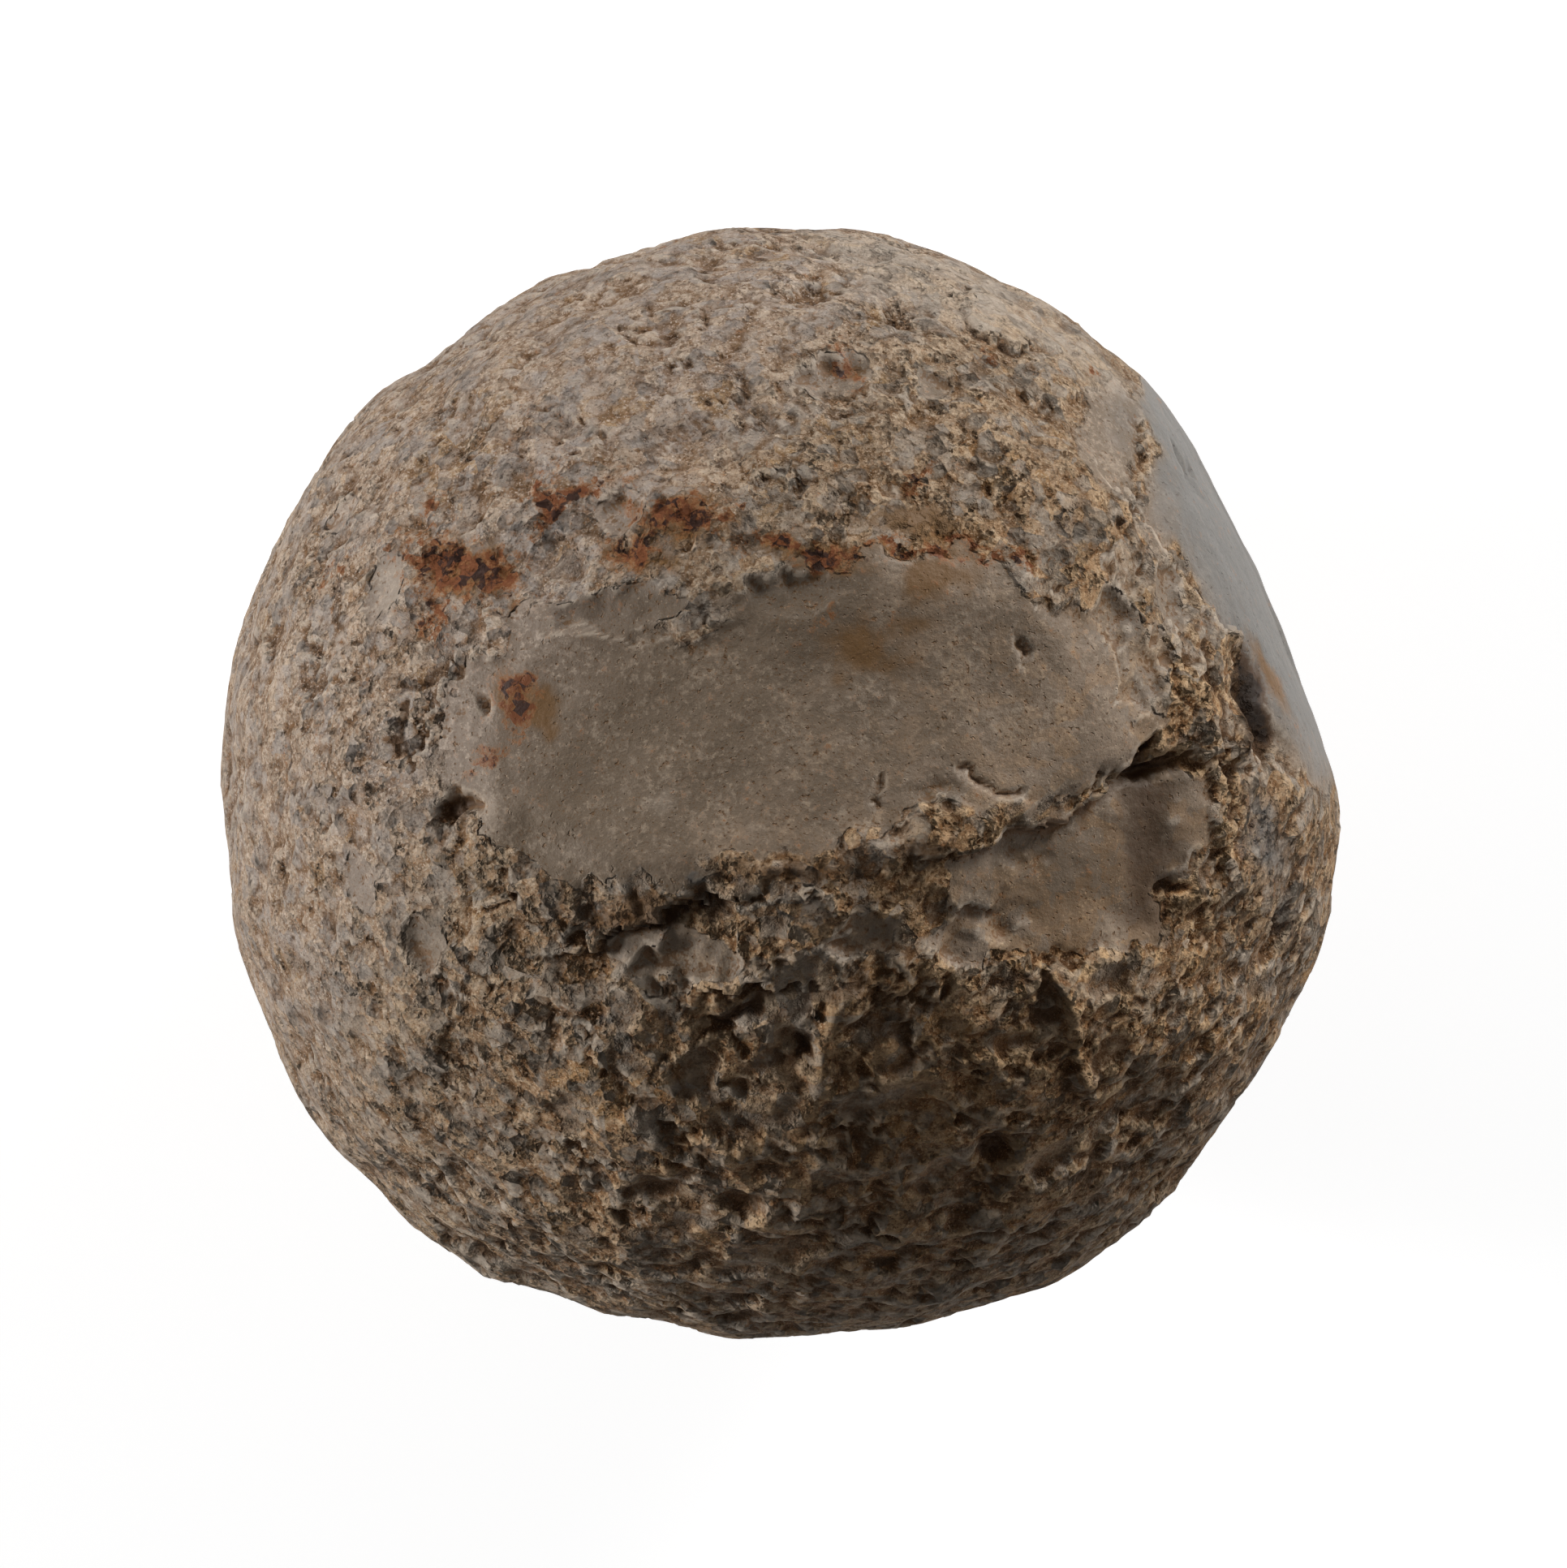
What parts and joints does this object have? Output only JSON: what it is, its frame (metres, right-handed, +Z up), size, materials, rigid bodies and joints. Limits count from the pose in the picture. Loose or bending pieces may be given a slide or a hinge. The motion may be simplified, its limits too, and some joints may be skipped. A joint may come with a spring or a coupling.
{
  "type": "hammerstone",
  "caption": "Near-spherical battered flint pebble with smooth flake scars, held in the hand to strike and crush.",
  "frame": {"origin": "centre of the bounding box in plan, on the worn flat that the stone rests on", "axes": "+Z up out of the resting flat, through the large smooth scar; +X towards the right of the picture; +Y towards its top"},
  "size_m": [0.0742, 0.0738, 0.067],
  "materials": {
    "flint": "matte"
  },
  "bodies": {
    "root": {"hammerstone": "flint"}
  },
  "joints": []
}
